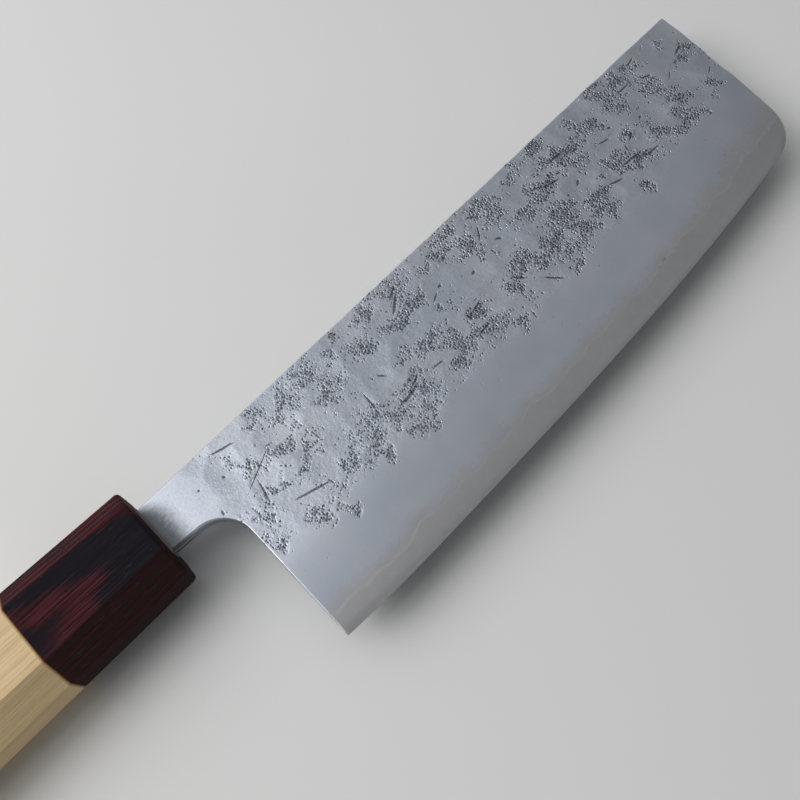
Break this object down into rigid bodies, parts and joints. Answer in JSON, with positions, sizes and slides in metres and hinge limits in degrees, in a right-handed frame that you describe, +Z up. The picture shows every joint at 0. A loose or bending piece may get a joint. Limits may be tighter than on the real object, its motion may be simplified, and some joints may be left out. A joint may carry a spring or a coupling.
{
  "type": "nakiri knife",
  "caption": "Vegetable knife with a tall straight-edged hammered three-layer blade and an octagonal wooden handle with a dark ferrule, for push-cutting vegetables.",
  "frame": {"origin": "under the middle of the whole knife's box, at the level of the lowest point of the handle, with the knife on its left side", "axes": "+X from the handle to the blade's front end, +Y from the cutting edge to the spine, +Z up out of the blade's right face"},
  "size_m": [0.3107, 0.061, 0.0202],
  "materials": {
    "core_steel": "fine lengthwise grind, slightly warmer and darker than the cladding",
    "cladding_steel": "hammered and blasted satin above, smooth satin on the ground faces",
    "ferrule_wood": "dark laminated wood with red streaks, semi-gloss",
    "handle_wood": "pale straight-grained wood, sanded, low sheen",
    "dowel_wood": "plain hardwood",
    "adhesive": "cured epoxy",
    "seal": "dark filler, smoothed"
  },
  "bodies": {
    "root": {"core_steel": "core_steel", "cladding_right": "cladding_steel", "cladding_left": "cladding_steel", "ferrule": "ferrule_wood", "handle_body": "handle_wood", "dowel": "dowel_wood", "tang_adhesive": "adhesive", "mouth_seal": "seal"}
  },
  "joints": []
}
